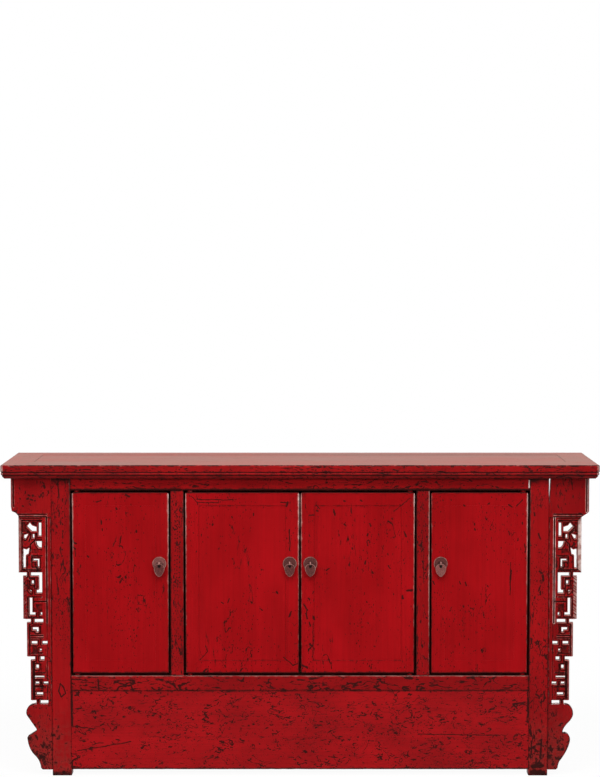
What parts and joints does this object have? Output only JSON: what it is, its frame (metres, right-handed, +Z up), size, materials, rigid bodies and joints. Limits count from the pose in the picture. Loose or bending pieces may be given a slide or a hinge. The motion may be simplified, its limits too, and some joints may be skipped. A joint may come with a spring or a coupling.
{
  "type": "sideboard",
  "caption": "Long red-lacquer sideboard with hinged panel doors on wooden pivots, a moulded framed top, a wide apron and pierced scroll-fret wings on stepped feet.",
  "frame": {"origin": "on the floor, under the middle of the box around the piece", "axes": "+X to the right seen from the front, -Y to the front (the doors' side), +Z up"},
  "size_m": [1.76, 0.42, 0.928],
  "materials": {
    "red_lacquer": "aged red lacquer over wood, satin, worn to a dark ground at the edges",
    "plain_wood": "unlacquered brown wood, matt",
    "pull_metal": "dull brown brass, worn bright on the eye"
  },
  "bodies": {
    "carcase": {"top_front_stile": "red_lacquer", "top_back_stile": "red_lacquer", "top_left_end": "red_lacquer", "top_right_end": "red_lacquer", "top_panel": "red_lacquer", "top_braces": "plain_wood", "front_left_post": "red_lacquer", "front_right_post": "red_lacquer", "back_left_post": "red_lacquer", "back_right_post": "red_lacquer", "front_top_rail": "red_lacquer", "front_bottom_rail": "red_lacquer", "front_left_mullion": "red_lacquer", "front_right_mullion": "red_lacquer", "front_apron": "red_lacquer", "back_top_rail": "plain_wood", "back_bottom_rail": "plain_wood", "back_mullions": "plain_wood", "back_panels": "plain_wood", "left_side_rails": "red_lacquer", "right_side_rails": "red_lacquer", "left_side_panels": "red_lacquer", "right_side_panels": "red_lacquer", "floor_boards": "plain_wood", "shelf_boards": "plain_wood", "cross_bearers": "plain_wood", "left_wing_block": "red_lacquer", "left_wing_fret": "red_lacquer", "left_wing_foot": "red_lacquer", "right_wing_block": "red_lacquer", "right_wing_fret": "red_lacquer", "right_wing_foot": "red_lacquer"},
    "left_outer_door": {"left_outer_hinge_stile": "red_lacquer", "left_outer_lock_stile": "red_lacquer", "left_outer_rails": "red_lacquer", "left_outer_panel": "red_lacquer", "left_outer_pull_plate": "pull_metal", "left_outer_pull_pin": "pull_metal"},
    "left_outer_drop": {"left_outer_drop": "pull_metal"},
    "left_inner_door": {"left_inner_hinge_stile": "red_lacquer", "left_inner_lock_stile": "red_lacquer", "left_inner_rails": "red_lacquer", "left_inner_panel": "red_lacquer", "left_inner_pull_plate": "pull_metal", "left_inner_pull_pin": "pull_metal"},
    "left_inner_drop": {"left_inner_drop": "pull_metal"},
    "right_outer_door": {"right_outer_hinge_stile": "red_lacquer", "right_outer_lock_stile": "red_lacquer", "right_outer_rails": "red_lacquer", "right_outer_panel": "red_lacquer", "right_outer_pull_plate": "pull_metal", "right_outer_pull_pin": "pull_metal"},
    "right_outer_drop": {"right_outer_drop": "pull_metal"},
    "right_inner_door": {"right_inner_hinge_stile": "red_lacquer", "right_inner_lock_stile": "red_lacquer", "right_inner_rails": "red_lacquer", "right_inner_panel": "red_lacquer", "right_inner_pull_plate": "pull_metal", "right_inner_pull_pin": "pull_metal"},
    "right_inner_drop": {"right_inner_drop": "pull_metal"}
  },
  "joints": [
    {"name": "left_outer_hinge", "type": "hinge", "parent": "carcase", "child": "left_outer_door", "pos_m": [-0.66, -0.169, 0.3], "axis": [0, 0, -1], "range_deg": [0, 105]},
    {"name": "left_outer_swing", "type": "hinge", "parent": "left_outer_door", "child": "left_outer_drop", "pos_m": [-0.416, -0.1887, 0.63179], "axis": [-1, 0, 0], "range_deg": [-10, 100]},
    {"name": "left_inner_hinge", "type": "hinge", "parent": "carcase", "child": "left_inner_door", "pos_m": [-0.3255, -0.169, 0.3], "axis": [0, 0, -1], "range_deg": [0, 105]},
    {"name": "left_inner_swing", "type": "hinge", "parent": "left_inner_door", "child": "left_inner_drop", "pos_m": [-0.0305, -0.1887, 0.63179], "axis": [-1, 0, 0], "range_deg": [-10, 100]},
    {"name": "right_outer_hinge", "type": "hinge", "parent": "carcase", "child": "right_outer_door", "pos_m": [0.66, -0.169, 0.3], "axis": [0, 0, 1], "range_deg": [0, 105]},
    {"name": "right_outer_swing", "type": "hinge", "parent": "right_outer_door", "child": "right_outer_drop", "pos_m": [0.416, -0.1887, 0.63179], "axis": [-1, 0, 0], "range_deg": [-10, 100]},
    {"name": "right_inner_hinge", "type": "hinge", "parent": "carcase", "child": "right_inner_door", "pos_m": [0.3255, -0.169, 0.3], "axis": [0, 0, 1], "range_deg": [0, 105]},
    {"name": "right_inner_swing", "type": "hinge", "parent": "right_inner_door", "child": "right_inner_drop", "pos_m": [0.0305, -0.1887, 0.63179], "axis": [-1, 0, 0], "range_deg": [-10, 100]}
  ]
}
